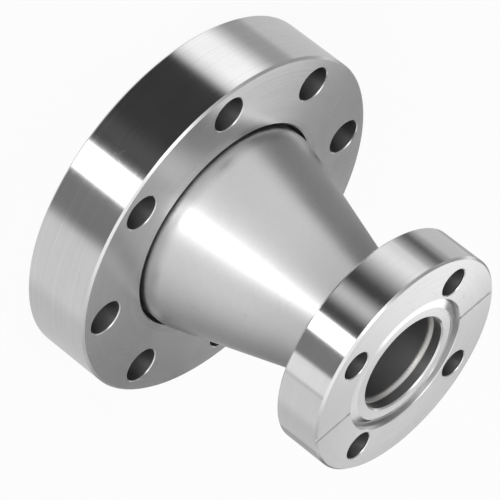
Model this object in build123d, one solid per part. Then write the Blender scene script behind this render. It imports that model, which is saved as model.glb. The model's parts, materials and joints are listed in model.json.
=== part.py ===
from build123d import *
import os
from dataclasses import dataclass
from math import radians, tan

os.makedirs("parts", exist_ok=True)

# Conical reducer nipple for high vacuum: a large and a small knife-edge flange, joined by a
# thin conical tube that is welded to each of them from the vacuum side.
# Millimetres. +Z runs along the bore, the large sealing face lies on z = 0 and +X passes
# through a bolt hole of the large flange. Each flange is sized outwards from its tube.

overall_length = 70.0

# large flange, 85.7 across with its bolts on a 72.4 circle
large_tube_diameter = 50.0
large_thickness = 17.0
large_knife_distance = 3.2      # knife edge from the outside of the tube
large_gasket_seat = 2.75        # knife edge to the wall of the gasket recess
large_bolt_web = 1.05           # gasket recess to the bolt holes
large_bolt_hole = 8.4
large_bolt_count = 8
large_rim_margin = 2.45         # bolt holes to the rim
large_back_clearance = 0.9      # room round the tube, open at the back face

# small flange, 54.0 across with its bolts on a 41.3 circle
small_tube_diameter = 25.4
small_thickness = 11.7
small_knife_distance = 1.6
small_gasket_seat = 2.25
small_bolt_web = 0.7
small_bolt_hole = 6.8
small_bolt_count = 4
small_rim_margin = 2.95
small_back_clearance = 0.5
small_flange_turn = 4.2         # degrees that its bolt holes stand round from those below

# reducer
tube_wall = 1.65
shoulder_height = 2.3           # straight tube above the large flange, up to the cone
neck_depth = 0.6                # how far the cone runs into the small flange
shoulder_radius = 10.0
neck_radius = 6.0

# knife edge, the same on both flanges
knife_depth = 0.3               # its tip lies this far under the sealing face
knife_slope = 20.0              # degrees, the outer flank, which is also the gasket's seat
knife_draft = 5.0               # degrees off upright, the inner flank
knife_height = 0.15             # from the flat inside it to its tip
knife_tip_width = 0.1

# weld seat, the same on both flanges
weld_lip_length = 3.7           # flange lip between the inner flat and the tube's end
weld_lip_step = 0.6             # how far the lip stands back from the inside of the tube
weld_bead_height = 1.0
weld_seat_gap = 0.02
socket_grip = 3.0               # length of the close socket round the tube's end
socket_clearance = 0.05

# leak-check grooves across each sealing face, and broken edges
groove_width = 1.0
groove_depth = 0.4
rim_chamfer = 0.5
recess_edge_break = 0.15
lip_edge_break = 0.35
back_edge_break = 0.4
bolt_hole_chamfer = 0.2

tube_seat_depth = knife_depth + knife_height + weld_lip_length
socket_mouth = tube_seat_depth + socket_grip


@dataclass
class Flange:
    """Sizes of one flange, whose sealing face lies down on z = 0."""

    tube: float
    thickness: float
    knife_distance: float
    gasket_seat: float
    bolt_web: float
    bolt_hole: float
    bolt_count: int
    rim_margin: float
    back_clearance: float

    def __post_init__(self):
        self.tube_inside = self.tube / 2 - tube_wall
        self.lip_bore = self.tube_inside + weld_lip_step
        self.socket = self.tube / 2 + socket_clearance
        self.back_bore = self.tube / 2 + self.back_clearance
        self.knife_tip = self.tube / 2 + self.knife_distance
        self.recess_wall = self.knife_tip + self.gasket_seat
        self.bolt_radius = self.recess_wall + self.bolt_web + self.bolt_hole / 2
        self.rim = self.bolt_radius + self.bolt_hole / 2 + self.rim_margin


large = Flange(
    tube=large_tube_diameter,
    thickness=large_thickness,
    knife_distance=large_knife_distance,
    gasket_seat=large_gasket_seat,
    bolt_web=large_bolt_web,
    bolt_hole=large_bolt_hole,
    bolt_count=large_bolt_count,
    rim_margin=large_rim_margin,
    back_clearance=large_back_clearance,
)
small = Flange(
    tube=small_tube_diameter,
    thickness=small_thickness,
    knife_distance=small_knife_distance,
    gasket_seat=small_gasket_seat,
    bolt_web=small_bolt_web,
    bolt_hole=small_bolt_hole,
    bolt_count=small_bolt_count,
    rim_margin=small_rim_margin,
    back_clearance=small_back_clearance,
)


def turned(corners, edge_breaks=(), edge_rounds=()):
    """A closed outline of (radius, height) corners, its edges finished, turned round Z."""
    with BuildPart() as part:
        with BuildSketch(Plane.XZ) as outline:
            with BuildLine():
                Polyline(*corners, close=True)
            make_face()
            for corner, size in edge_breaks:
                chamfer(outline.vertices().sort_by_distance(corner)[0], size)
            for corner, size in edge_rounds:
                fillet(outline.vertices().sort_by_distance(corner)[0], size)
        revolve(axis=Axis.Z)
    return part.part


def flange_blank(flange):
    """The turned flange: knife edge and weld lip below, open tube socket above."""
    inner_flat = knife_depth + knife_height
    knife_inside = flange.knife_tip - knife_tip_width
    knife_foot = knife_inside - knife_height * tan(radians(knife_draft))
    recess_floor = knife_depth + flange.gasket_seat * tan(radians(knife_slope))
    rim_front = (flange.rim, 0)
    rim_back = (flange.rim, flange.thickness)
    socket_edge = (flange.back_bore, flange.thickness)
    lip_edge = (flange.lip_bore, inner_flat)
    recess_edge = (flange.recess_wall, 0)
    corners = [
        recess_edge,
        rim_front,
        rim_back,
        socket_edge,
        (flange.back_bore, socket_mouth),
        (flange.socket, socket_mouth),
        (flange.socket, tube_seat_depth),
        (flange.lip_bore, tube_seat_depth),
        lip_edge,
        (knife_foot, inner_flat),
        (knife_inside, knife_depth),
        (flange.knife_tip, knife_depth),
        (flange.recess_wall, recess_floor),
    ]
    edge_breaks = [
        (rim_front, rim_chamfer),
        (rim_back, rim_chamfer),
        (socket_edge, back_edge_break),
        (lip_edge, lip_edge_break),
        (recess_edge, recess_edge_break),
    ]
    return turned(corners, edge_breaks)


def finished_flange(flange):
    """The blank with its ring of bolt holes, the first on +X, and leak-check grooves."""
    hole_radius = flange.bolt_hole / 2
    groove_length = flange.rim - flange.recess_wall + 2 * recess_edge_break
    groove_middle = (flange.rim + flange.recess_wall) / 2
    with BuildPart() as part:
        add(flange_blank(flange))
        with Locations((0, 0, flange.thickness / 2)):
            with PolarLocations(flange.bolt_radius, flange.bolt_count):
                Cylinder(hole_radius, flange.thickness, mode=Mode.SUBTRACT)
        circles = part.edges().filter_by(GeomType.CIRCLE)
        hole_edges = circles.filter_by(lambda edge: abs(edge.radius - hole_radius) < 1e-6)
        chamfer(hole_edges, bolt_hole_chamfer)
        with PolarLocations(groove_middle, 2, start_angle=180 / flange.bolt_count):
            Box(groove_length, groove_width, 2 * groove_depth, mode=Mode.SUBTRACT)
    return part.part


def weld_bead(flange):
    """A bead in the corner between the tube's end and the flange lip."""
    outside = flange.lip_bore - weld_seat_gap
    foot = (flange.tube_inside, tube_seat_depth)
    crown = (outside, tube_seat_depth - weld_bead_height)
    return turned([foot, crown, (outside, tube_seat_depth)])


def reducer():
    """The conical tube with a straight stub at each end, of one wall thickness."""
    large_end = tube_seat_depth
    small_end = overall_length - tube_seat_depth
    cone_base = large.thickness + shoulder_height
    cone_top = overall_length - small.thickness + neck_depth
    taper = (large.tube - small.tube) / 2 / (cone_top - cone_base)
    # the inner corners lie lower by the wall times the tangent of half the cone's angle
    corner_drop = tube_wall * ((1 + taper**2) ** 0.5 - 1) / taper
    shoulder = (large.tube / 2, cone_base)
    shoulder_inside = (large.tube_inside, cone_base - corner_drop)
    neck = (small.tube / 2, cone_top)
    neck_inside = (small.tube_inside, cone_top - corner_drop)
    corners = [
        (large.tube / 2, large_end),
        shoulder,
        neck,
        (small.tube / 2, small_end),
        (small.tube_inside, small_end),
        neck_inside,
        shoulder_inside,
        (large.tube_inside, large_end),
    ]
    edge_rounds = [
        (shoulder, shoulder_radius),
        (shoulder_inside, shoulder_radius - tube_wall),
        (neck, neck_radius),
        (neck_inside, neck_radius + tube_wall),
    ]
    return turned(corners, edge_rounds=edge_rounds)


# the small end is made face down like the large one, then turned over onto the far end
far_end = Pos(0, 0, overall_length) * Rot(0, 0, small_flange_turn) * Rot(180, 0, 0)

pieces = {
    "large_flange": finished_flange(large),
    "small_flange": far_end * finished_flange(small),
    "reducer_cone": reducer(),
    "large_weld_bead": weld_bead(large),
    "small_weld_bead": far_end * weld_bead(small),
}

for name, piece in pieces.items():
    export_step(piece, f"parts/{name}.step")
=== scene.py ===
import bpy
import json
from math import cos, pi, radians, sin
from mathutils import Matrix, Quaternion, Vector


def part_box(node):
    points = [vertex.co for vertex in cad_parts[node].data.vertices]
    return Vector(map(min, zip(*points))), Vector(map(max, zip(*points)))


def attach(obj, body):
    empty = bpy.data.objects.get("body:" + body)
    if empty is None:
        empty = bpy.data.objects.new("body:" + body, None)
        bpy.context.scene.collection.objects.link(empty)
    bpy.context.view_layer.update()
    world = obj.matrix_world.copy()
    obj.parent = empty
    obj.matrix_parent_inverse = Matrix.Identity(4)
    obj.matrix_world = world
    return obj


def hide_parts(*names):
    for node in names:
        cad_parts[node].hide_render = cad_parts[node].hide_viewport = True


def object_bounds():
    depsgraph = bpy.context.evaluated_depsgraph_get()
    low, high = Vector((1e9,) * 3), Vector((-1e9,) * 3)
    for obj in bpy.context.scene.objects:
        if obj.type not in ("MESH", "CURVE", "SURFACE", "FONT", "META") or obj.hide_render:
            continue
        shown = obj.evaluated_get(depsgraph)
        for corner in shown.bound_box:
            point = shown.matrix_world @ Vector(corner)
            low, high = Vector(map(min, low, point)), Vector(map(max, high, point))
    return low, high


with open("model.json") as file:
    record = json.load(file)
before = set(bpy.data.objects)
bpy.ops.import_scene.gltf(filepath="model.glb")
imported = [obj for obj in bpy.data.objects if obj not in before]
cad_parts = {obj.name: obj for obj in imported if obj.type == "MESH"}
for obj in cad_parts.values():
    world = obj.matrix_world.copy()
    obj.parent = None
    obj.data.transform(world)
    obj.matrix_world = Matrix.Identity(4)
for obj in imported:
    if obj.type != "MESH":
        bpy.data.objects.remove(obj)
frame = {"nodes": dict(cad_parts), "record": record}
cadLow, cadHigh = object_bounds()
mounts = {mount["name"]: mount for mount in frame["record"]["mounts"]}
mm = 0.001


class Wire:
    # an output socket; a sum or product with it adds a Math node
    def __init__(self, graph, socket):
        self.graph = graph
        self.socket = socket

    def output(self, name):
        return Wire(self.graph, self.socket.node.outputs[name])

    def math(self, operation, *values):
        return self.graph.add("ShaderNodeMath", {"operation": operation}, dict(enumerate(values)))

    def __add__(self, other):
        return self.math("ADD", self, other)

    def __radd__(self, other):
        return self.math("ADD", other, self)

    def __sub__(self, other):
        return self.math("SUBTRACT", self, other)

    def __rsub__(self, other):
        return self.math("SUBTRACT", other, self)

    def __mul__(self, other):
        return self.math("MULTIPLY", self, other)

    def __rmul__(self, other):
        return self.math("MULTIPLY", other, self)

    def __truediv__(self, other):
        return self.math("DIVIDE", self, other)

    def __rtruediv__(self, other):
        return self.math("DIVIDE", other, self)

    def __abs__(self):
        return self.math("ABSOLUTE", self)


class Graph:
    # the nodes of a material or of the world, built from nothing
    def __init__(self, owner):
        owner.use_nodes = True
        self.tree = owner.node_tree
        self.tree.nodes.clear()

    def add(self, kind, settings=None, sockets=None, out=0):
        node = self.tree.nodes.new(kind)
        for name, value in (settings or {}).items():
            setattr(node, name, value)
        for name, value in (sockets or {}).items():
            if isinstance(value, Wire):
                self.tree.links.new(value.socket, node.inputs[name])
            else:
                node.inputs[name].default_value = value
        return Wire(self, node.outputs[out]) if node.outputs else None

    def split(self, vector):
        parts = self.add("ShaderNodeSeparateXYZ", None, {"Vector": vector})
        return parts, parts.output("Y"), parts.output("Z")

    def join(self, x, y=0.0, z=0.0):
        return self.add("ShaderNodeCombineXYZ", None, {"X": x, "Y": y, "Z": z})

    def length(self, x, y):
        return self.add("ShaderNodeVectorMath", {"operation": "LENGTH"}, {0: self.join(x, y)}, out="Value")

    def angle(self, x, y):
        return self.add("ShaderNodeMath", {"operation": "ARCTAN2"}, {0: y, 1: x})

    def step(self, value, start, end):
        # rises smoothly from 0 at start to 1 at end; start may be the larger
        return self.add("ShaderNodeMapRange", {"interpolation_type": "SMOOTHSTEP"},
                        {"Value": value, "From Min": start, "From Max": end})

    def noise(self, vector, scale, detail=2.0, roughness=0.5, dimensions="3D"):
        return self.add("ShaderNodeTexNoise", {"noise_dimensions": dimensions},
                        {"Vector": vector, "Scale": scale, "Detail": detail, "Roughness": roughness})

    def mixColour(self, amount, first, second, blend="MIX"):
        return self.add("ShaderNodeMix", {"data_type": "RGBA", "blend_type": blend},
                        {0: amount, 6: first, 7: second}, out=2)

    def dim(self, colour, shade):
        return self.mixColour(1.0, colour, self.join(shade, shade, shade), "MULTIPLY")


def grey(level, warmth=0.0):
    return (level * (1 + warmth), level, level * (1 - warmth), 1.0)


class Steel:
    # a steel material under way, with the places on a turned part that its finish depends on
    def __init__(self, name):
        self.material = bpy.data.materials.new(name)
        self.graph = graph = Graph(self.material)
        self.point = graph.add("ShaderNodeTexCoord", out="Object")
        x, y, self.z = graph.split(self.point)
        self.radius = graph.length(x, y)
        self.turn = graph.angle(x, y)
        normal = graph.add("ShaderNodeNewGeometry", out="Normal")
        acrossX, acrossY, up = graph.split(normal)
        self.upright = abs(up)
        self.outward = (x * acrossX + y * acrossY) / self.radius

    def hairlines(self, spacing, width):
        # thin broken scratches: level lines of a soft noise, let through in patches
        graph = self.graph
        field = graph.noise(self.point, 1 / spacing, 1.0, 0.4)
        patches = graph.noise(self.point, 0.7 / spacing, 2.0, 0.6)
        return graph.step(abs(field - 0.5), width, 0.0) * graph.step(patches, 0.52, 0.62)

    def finish(self, colour, roughness, height, sizes):
        graph = self.graph
        bump = graph.add("ShaderNodeBump", None, {
            "Strength": sizes["bumpStrength"], "Distance": sizes["bumpDepth"], "Height": height})
        shader = graph.add("ShaderNodeBsdfPrincipled", None, {
            "Base Color": colour, "Metallic": 1.0, "Roughness": roughness, "Normal": bump,
            "Anisotropic": sizes["anisotropy"], "Anisotropic Rotation": 0.25})
        graph.add("ShaderNodeOutputMaterial", None, {"Surface": shader})
        return self.material


flangeFinish = {
    "rimColour": grey(0.78), "rimRoughness": 0.13,
    "faceColour": grey(0.76), "faceRoughness": 0.19,
    # the back faces' greyer colour is partly their coarser turned finish and partly painted shade
    "backFinishAndShadeColour": grey(0.62), "backRoughness": 0.25,
    "edgeColour": grey(0.88), "edgeRoughness": 0.25,
    "boreColour": grey(0.5), "boreRoughness": 0.3,
    # the bolt holes' dark colour is painted shade inside them; their roughness is the drilled finish
    "holeColour": grey(0.33), "holeRoughness": 0.4,
    "turningPitch": 0.3 * mm, "turningContrast": 0.07,
    "streakLength": 30 * mm, "streakContrast": 0.05,
    "mottleSize": 9 * mm, "mottleContrast": 0.06,
    "scratchSpacing": 7 * mm, "scratchWidth": 0.004, "scratchContrast": 0.12,
    "turningRoughness": 0.05, "mottleRoughness": 0.06, "scratchRoughness": 0.12,
    "bumpStrength": 0.25, "bumpDepth": 0.004 * mm,
    "anisotropy": 0.6,
}


def flangeSteel(name, node, bolts, sealingFaceUp):
    # rim, two faces, chamfers, bolt holes and bore are told apart by place and slope
    sizes = flangeFinish
    low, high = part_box(node)
    rim = high.x
    middle = (low.z + high.z) / 2
    holeRadius = mounts[bolts]["dims"]["hole_r_mm"] * mm
    boltRadius = mounts[bolts]["dims"]["pcd_mm"] / 2 * mm
    steel = Steel(name)
    graph, radius = steel.graph, steel.radius
    flat = graph.step(steel.upright, 0.8, 0.95)
    edge = graph.step(steel.upright, 0.4, 0.6) * (1 - flat)
    facing = (steel.z - middle) * (1 if sealingFaceUp else -1)
    sealing = graph.step(facing, 0, 0.5 * mm) * flat
    steep = 1 - graph.step(steel.upright, 0.2, 0.6)
    outer = graph.step(radius, rim - 1.2 * mm, rim - 0.9 * mm)
    pastRecess = graph.step(radius, boltRadius - holeRadius - 0.5 * mm, boltRadius - holeRadius)
    underGrooves = graph.step(facing, (high.z - low.z) / 2 - 0.4 * mm, (high.z - low.z) / 2 - 0.5 * mm)
    hole = pastRecess * (1 - outer) * steep * underGrooves
    bore = (1 - pastRecess) * steep
    rings = graph.noise(graph.join(radius, steel.z), 1 / sizes["turningPitch"], 3.0, 0.6, "2D")
    along = steel.turn * (rim / sizes["streakLength"])
    streaks = graph.noise(graph.join(along, radius / mm, steel.z / mm), 1.0, 2.0, 0.5)
    mottle = graph.noise(steel.point, 1 / sizes["mottleSize"], 4.0, 0.6)
    scratches = steel.hairlines(sizes["scratchSpacing"], sizes["scratchWidth"])
    # back faces take a greyer colour: coarser turned finish, and partly painted shade
    colour = graph.mixColour(flat, sizes["rimColour"], sizes["backFinishAndShadeColour"])
    roughness = sizes["rimRoughness"] + flat * (sizes["backRoughness"] - sizes["rimRoughness"])
    # the bolt holes get a dark colour here, which is painted shade inside them
    for mask, zone in ((sealing, "face"), (edge, "edge"), (bore, "bore"), (hole, "hole")):
        colour = graph.mixColour(mask, colour, sizes[zone + "Colour"])
        roughness = roughness + mask * (sizes[zone + "Roughness"] - roughness)
    shade = 1 + (rings - 0.5) * (2 * sizes["turningContrast"])
    shade = shade + (streaks - 0.5) * (2 * sizes["streakContrast"])
    shade = shade + (mottle - 0.5) * (2 * sizes["mottleContrast"]) - scratches * sizes["scratchContrast"]
    roughness = roughness + (mottle - 0.5) * sizes["mottleRoughness"]
    roughness = roughness + (rings - 0.5) * sizes["turningRoughness"] + scratches * sizes["scratchRoughness"]
    return steel.finish(graph.dim(colour, shade), roughness, rings - scratches, sizes)


coneFinish = {
    "colour": grey(0.62), "roughness": 0.33,
    "insideColour": grey(0.42), "insideRoughness": 0.42,
    "brushPitch": 0.5 * mm, "brushLength": 25, "brushContrast": 0.05,
    "mottleSize": 8 * mm, "mottleContrast": 0.05,
    # the neck values darken the cone's colour towards its narrow end: painted shade
    "neckPaintedShade": 0.14, "neckStart": 36 * mm, "neckEnd": 52 * mm,
    "scratchSpacing": 9 * mm, "scratchWidth": 0.004, "scratchContrast": 0.1,
    "brushRoughness": 0.06, "mottleRoughness": 0.08, "scratchRoughness": 0.1,
    "bumpStrength": 0.2, "bumpDepth": 0.004 * mm,
    "anisotropy": 0.3,
}


def coneSteel(name):
    # brushed round the cone outside, duller inside, with painted shade that darkens it towards the neck
    sizes = coneFinish
    steel = Steel(name)
    graph = steel.graph
    inside = graph.step(steel.outward, 0.0, -0.3)
    brush = graph.join(steel.z / sizes["brushPitch"], steel.turn * (sizes["brushLength"] / pi))
    brush = graph.noise(brush, 1.0, 3.0, 0.6, "2D")
    mottle = graph.noise(steel.point, 1 / sizes["mottleSize"], 3.0, 0.5)
    scratches = steel.hairlines(sizes["scratchSpacing"], sizes["scratchWidth"])
    colour = graph.mixColour(inside, sizes["colour"], sizes["insideColour"])
    roughness = sizes["roughness"] + inside * (sizes["insideRoughness"] - sizes["roughness"])
    # painted shade: the base colour darkens towards the small flange's neck
    neck = graph.step(steel.z, sizes["neckStart"], sizes["neckEnd"])
    shade = 1 + (brush - 0.5) * (2 * sizes["brushContrast"])
    shade = shade + (mottle - 0.5) * (2 * sizes["mottleContrast"])
    shade = shade - scratches * sizes["scratchContrast"] - neck * sizes["neckPaintedShade"]
    roughness = roughness + (mottle - 0.5) * sizes["mottleRoughness"]
    roughness = roughness + (brush - 0.5) * sizes["brushRoughness"] + scratches * sizes["scratchRoughness"]
    return steel.finish(graph.dim(colour, shade), roughness, brush - scratches, sizes)


weldFinish = {
    "colour": grey(0.57, 0.01), "roughness": 0.42,
    "tint": (0.62, 0.55, 0.44, 1.0), "tintAmount": 0.15,
    "patchSize": 4 * mm, "grainSize": 0.12 * mm, "grainRoughness": 0.15,
    "bumpStrength": 0.3, "bumpDepth": 0.01 * mm,
    "anisotropy": 0.0,
}


def weldSteel(name):
    # bright fused metal with a faint straw tint in patches
    sizes = weldFinish
    steel = Steel(name)
    graph = steel.graph
    patches = graph.noise(steel.point, 1 / sizes["patchSize"], 2.0, 0.5)
    grain = graph.noise(steel.point, 1 / sizes["grainSize"], 3.0, 0.6)
    tinted = graph.step(patches, 0.45, 0.65) * sizes["tintAmount"]
    colour = graph.mixColour(tinted, sizes["colour"], sizes["tint"])
    colour = graph.dim(colour, 0.95 + grain * 0.1)
    return steel.finish(colour, sizes["roughness"] + (grain - 0.5) * sizes["grainRoughness"], grain, sizes)


def newPiece(name, corners, faces):
    mesh = bpy.data.meshes.new(name)
    mesh.from_pydata(corners, [], faces)
    piece = bpy.data.objects.new(name, mesh)
    bpy.context.scene.collection.objects.link(piece)
    return piece


def setMaterial(piece, material):
    piece.data.materials.clear()
    piece.data.materials.append(material)


setMaterial(frame["nodes"]["large_flange"],
            flangeSteel("large flange steel", "large_flange", "large_bolts", False))
setMaterial(frame["nodes"]["small_flange"],
            flangeSteel("small flange steel", "small_flange", "small_bolts", True))
setMaterial(frame["nodes"]["reducer_cone"], coneSteel("cone steel"))
print("flanges and cone: done")


bead = {
    "width": 0.58 * mm,          # from the tube's inside out to the flange lip
    "climb": 0.3 * mm,           # how far it wets up the lip
    "crown": 0.1 * mm,           # how far it swells from a straight fillet
    "ripplePitch": 0.9 * mm, "rippleHeight": 0.03 * mm, "rippleBend": 0.8,
    "stepsPerRipple": 8, "stepsAcross": 8,
}


def rippledBead(name, node, faceUp):
    # a fillet weld laid in overlapping crescents round the tube's end
    low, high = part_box(node)
    outside = high.x
    inside = outside - bead["width"]
    foot, crown = (low.z, high.z + bead["climb"]) if faceUp else (high.z, low.z - bead["climb"])
    ripples = round(2 * pi * inside / bead["ripplePitch"])
    rounds = ripples * bead["stepsPerRipple"]
    across = bead["stepsAcross"]
    # square to the straight fillet, into the bore
    side = Vector((-abs(crown - foot), 0, bead["width"] * (1 if faceUp else -1))).normalized()
    corners, faces = [], []
    for i in range(rounds):
        turn = 2 * pi * i / rounds
        for j in range(across + 1):
            part = j / across
            phase = i / bead["stepsPerRipple"] + bead["rippleBend"] * (2 * part - 1) ** 2
            ripple = 1 - (2 * (phase % 1) - 1) ** 2
            swell = 4 * part * (1 - part)
            lift = swell * (bead["crown"] + bead["rippleHeight"] * ripple)
            radius = inside + part * bead["width"] + side.x * lift
            height = foot + part * (crown - foot) + side.z * lift
            corners.append((radius * cos(turn), radius * sin(turn), height))
        corners.append((outside * cos(turn), outside * sin(turn), foot))
    ring = across + 2
    for i in range(rounds):
        here, there = i * ring, (i + 1) % rounds * ring
        for j in range(ring):
            k = (j + 1) % ring
            face = (here + j, there + j, there + k, here + k)
            faces.append(face if faceUp else face[::-1])
    piece = newPiece(name, corners, faces)
    for number, face in enumerate(piece.data.polygons):
        face.use_smooth = number % ring < across
    setMaterial(piece, weldSteel(name + " steel"))
    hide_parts(node)
    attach(piece, "root")


rippledBead("large_bead_ripples", "large_weld_bead", False)
rippledBead("small_bead_ripples", "small_weld_bead", True)
print("weld beads: done")


# the camera looks down on the part, and is rolled so that the small end points down and right.
# Angles are in degrees, the distance in metres and the lens in millimetres
camera = {
    "azimuth": -13.98, "elevation": 25.87, "roll": 127.8,
    "distance": 0.9764, "lens": 330.1,
    "aimRight": -7.79 * mm, "aimUp": 4.78 * mm,
}


def makeCamera(sizes):
    azimuth, elevation = radians(sizes["azimuth"]), radians(sizes["elevation"])
    back = Vector((sin(azimuth) * cos(elevation), -cos(azimuth) * cos(elevation), sin(elevation)))
    turn = (-back).to_track_quat("-Z", "Y") @ Quaternion((0, 0, 1), radians(sizes["roll"]))
    aim = (cadLow + cadHigh) / 2 + turn @ Vector((sizes["aimRight"], sizes["aimUp"], 0))
    data = bpy.data.cameras.new("camera")
    data.lens = sizes["lens"]
    data.clip_start, data.clip_end = 0.05, 100
    piece = bpy.data.objects.new("camera", data)
    bpy.context.scene.collection.objects.link(piece)
    piece.location = aim + back * sizes["distance"]
    piece.rotation_mode = "QUATERNION"
    piece.rotation_quaternion = turn
    bpy.context.scene.camera = piece


# light cards round the part, which its metal reflects. Turn is counted from the camera round
# the part and rise from the horizon, each as its middle, half width and soft edge in degrees;
# a later card covers an earlier one
room = {
    "ambient": 0.29,
    "cards": [
        {"turn": (-110, 14, 4), "rise": (-60, 42, 6), "light": 0.38},
        {"turn": (120, 62, 3), "rise": (-60, 42, 6), "light": 0.60},
        {"turn": (40, 14, 4), "rise": (-60, 42, 6), "light": 0.21},
        {"turn": (84, 26, 8), "rise": (-60, 42, 6), "light": 0.72},
        {"turn": (-152, 34, 4), "rise": (-60, 42, 6), "light": 0.60},
        {"turn": (-80, 15, 10), "rise": (-60, 46, 6), "light": 1.15},
        {"turn": (-27.5, 34.5, 4), "rise": (-60, 44, 6), "light": 0.04},
        {"turn": (-2, 8, 8), "rise": (-60, 44, 6), "light": 0.09},
        {"turn": (-38, 42, 8), "rise": (15, 24, 8), "light": 1.0},
        {"turn": (50, 55, 45), "rise": (15, 24, 8), "light": 1.0},
        {"turn": (16, 20, 16), "rise": (15, 20, 8), "light": 1.5},
        {"turn": (30, 85, 15), "rise": (58, 16, 6), "light": 0.95},
        {"turn": (-20, 20, 15), "rise": (62, 12, 8), "light": 1.8},
        {"turn": (18.5, 8.5, 1.5), "rise": (-12, 43, 6), "light": 3.2},
        {"turn": (180, 75, 20), "rise": (72, 16, 6), "light": 0.95},
        {"turn": (150, 15, 6), "rise": (40, 26, 8), "light": 0.9},
        {"turn": (-159, 22, 6), "rise": (47, 36, 8), "light": 1.42},
    ],
}


def cardMask(graph, card, x, y):
    # 1 where a level direction points at the card, 0 away from it, with soft edges
    turn, half, edge = card["turn"]
    way = radians(camera["azimuth"] - 90 + turn)
    along = (x * cos(way) + y * sin(way)) / graph.length(x, y)
    apart = along.math("ARCCOSINE", along.math("MINIMUM", along, 0.99999)) * (180 / pi)
    return graph.step(apart, half + edge, half - edge)


def makeRoom(sizes):
    world = bpy.data.worlds.new("room")
    bpy.context.scene.world = world
    graph = Graph(world)
    x, y, z = graph.split(graph.add("ShaderNodeTexCoord", out="Generated"))
    rise = z.math("ARCSINE", z) * (180 / pi)
    light = sizes["ambient"]
    for card in sizes["cards"]:
        middle, half, edge = card["rise"]
        level = graph.step(abs(rise - middle), half + edge, half - edge)
        mask = cardMask(graph, card, x, y) * level
        light = mask * card["light"] + (1 - mask) * light
    seen = graph.add("ShaderNodeLightPath", out="Is Camera Ray")
    light = seen + (1 - seen) * light     # plain white behind the floor's edge
    background = graph.add("ShaderNodeBackground", None, {"Color": graph.join(light, light, light)})
    graph.add("ShaderNodeOutputWorld", None, {"Surface": background})


def showInMetalOnly(piece):
    for kind in ("camera", "diffuse", "shadow", "transmission", "volume_scatter"):
        setattr(piece, "visible_" + kind, False)


# low cards that lie round the part and show only in the small flange's rim
apron = {
    "inside": 110 * mm, "outside": 210 * mm, "height": 1 * mm,
    "cards": [
        {"turn": (-166, 16, 8), "light": 0.46},
        {"turn": (164, 22, 8), "light": 0.42},
        {"turn": (-89.5, 11, 6), "light": 0.09},
        {"turn": (-28, 35, 3), "light": 0.055},
        {"turn": (-66, 17, 17), "light": 0.95},
        {"turn": (-14.5, 7.5, 7.5), "light": 0.62},
        {"turn": (57.5, 10.5, 3), "light": 0.9},
    ],
}


def makeApron(sizes):
    corners, faces, count = [], [], 90
    for i in range(count):
        turn = 2 * pi * i / count
        for radius in (sizes["inside"], sizes["outside"]):
            corners.append((radius * cos(turn), radius * sin(turn), 0))
        here, there = 2 * i, 2 * (i + 1) % (2 * count)
        faces.append((here, here + 1, there + 1, there))
    piece = newPiece("apron", corners, faces)
    piece.location.z = cadLow.z + sizes["height"]
    showInMetalOnly(piece)
    material = bpy.data.materials.new("apron")
    graph = Graph(material)
    x, y, _ = graph.split(graph.add("ShaderNodeTexCoord", out="Object"))
    light, cover = 0.0, 0.0
    for card in sizes["cards"]:
        mask = cardMask(graph, card, x, y)
        light = mask * card["light"] + (1 - mask) * light
        cover = mask.math("MAXIMUM", mask, cover)
    glow = graph.add("ShaderNodeEmission", None, {"Color": graph.join(light, light, light), "Strength": 1.0})
    clear = graph.add("ShaderNodeBsdfTransparent")
    both = graph.add("ShaderNodeMixShader", None, {0: cover, 1: clear, 2: glow})
    graph.add("ShaderNodeOutputMaterial", None, {"Surface": both})
    setMaterial(piece, material)


# a dimmer panel that stands behind the part and shows only in the large flange's upper face
panel = {
    "distance": 300 * mm, "halfWidth": 220 * mm, "bottom": 95 * mm, "top": 187 * mm,
    "light": 0.42, "nearSideDrop": 0.13, "farSideDrop": 0.14, "cornerDrop": 0.27,
}


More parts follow.
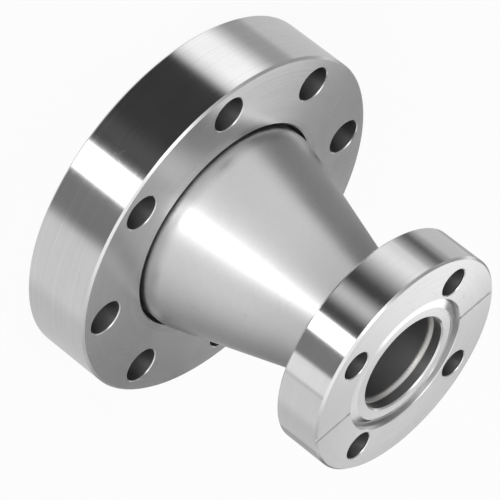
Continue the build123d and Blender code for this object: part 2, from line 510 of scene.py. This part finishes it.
def makePanel(sizes):
    half, bottom, top = sizes["halfWidth"], sizes["bottom"], sizes["top"]
    corners = [(0, -half, bottom), (0, half, bottom), (0, half, top), (0, -half, top)]
    piece = newPiece("panel", corners, [(0, 1, 2, 3)])
    behind = radians(camera["azimuth"] + 90)
    piece.location = Vector((cos(behind), sin(behind), 0)) * sizes["distance"]
    piece.rotation_euler.z = behind
    showInMetalOnly(piece)
    material = bpy.data.materials.new("panel")
    graph = Graph(material)
    _, y, z = graph.split(graph.add("ShaderNodeTexCoord", out="Object"))
    nearSide = graph.step(y, 20 * mm, -50 * mm)
    farSide = graph.step(y, -10 * mm, 50 * mm)
    corner = graph.step(y, 10 * mm, -40 * mm) * graph.step(z, 168 * mm, 146 * mm)
    light = sizes["light"] - nearSide * sizes["nearSideDrop"] - farSide * sizes["farSideDrop"]
    light = light - corner * sizes["cornerDrop"]
    glow = graph.add("ShaderNodeEmission", None, {"Color": graph.join(light, light, light), "Strength": 1.0})
    graph.add("ShaderNodeOutputMaterial", None, {"Surface": glow})
    setMaterial(piece, material)


floor = {"halfWidth": 3.0, "colour": grey(0.9), "cameraWhite": 0.9}


def makeFloor(sizes):
    half = sizes["halfWidth"]
    corners = [(-half, -half, 0), (half, -half, 0), (half, half, 0), (-half, half, 0)]
    piece = newPiece("floor", corners, [(0, 1, 2, 3)])
    piece.location.z = cadLow.z - 0.05 * mm
    piece.visible_glossy = False     # the metal reflects the cards below the horizon instead
    material = bpy.data.materials.new("floor")
    graph = Graph(material)
    seen = graph.add("ShaderNodeLightPath", out="Is Camera Ray")
    diffuse = graph.add("ShaderNodeBsdfDiffuse", None, {"Color": sizes["colour"]})
    glow = graph.add("ShaderNodeEmission", None, {"Color": grey(1.0), "Strength": 1.0})
    both = graph.add("ShaderNodeMixShader", None, {0: seen * sizes["cameraWhite"], 1: diffuse, 2: glow})
    graph.add("ShaderNodeOutputMaterial", None, {"Surface": both})
    setMaterial(piece, material)


makeCamera(camera)
makeRoom(room)
makeApron(apron)
makePanel(panel)
makeFloor(floor)
bpy.context.scene.view_settings.view_transform = "Standard"
print("studio: done")
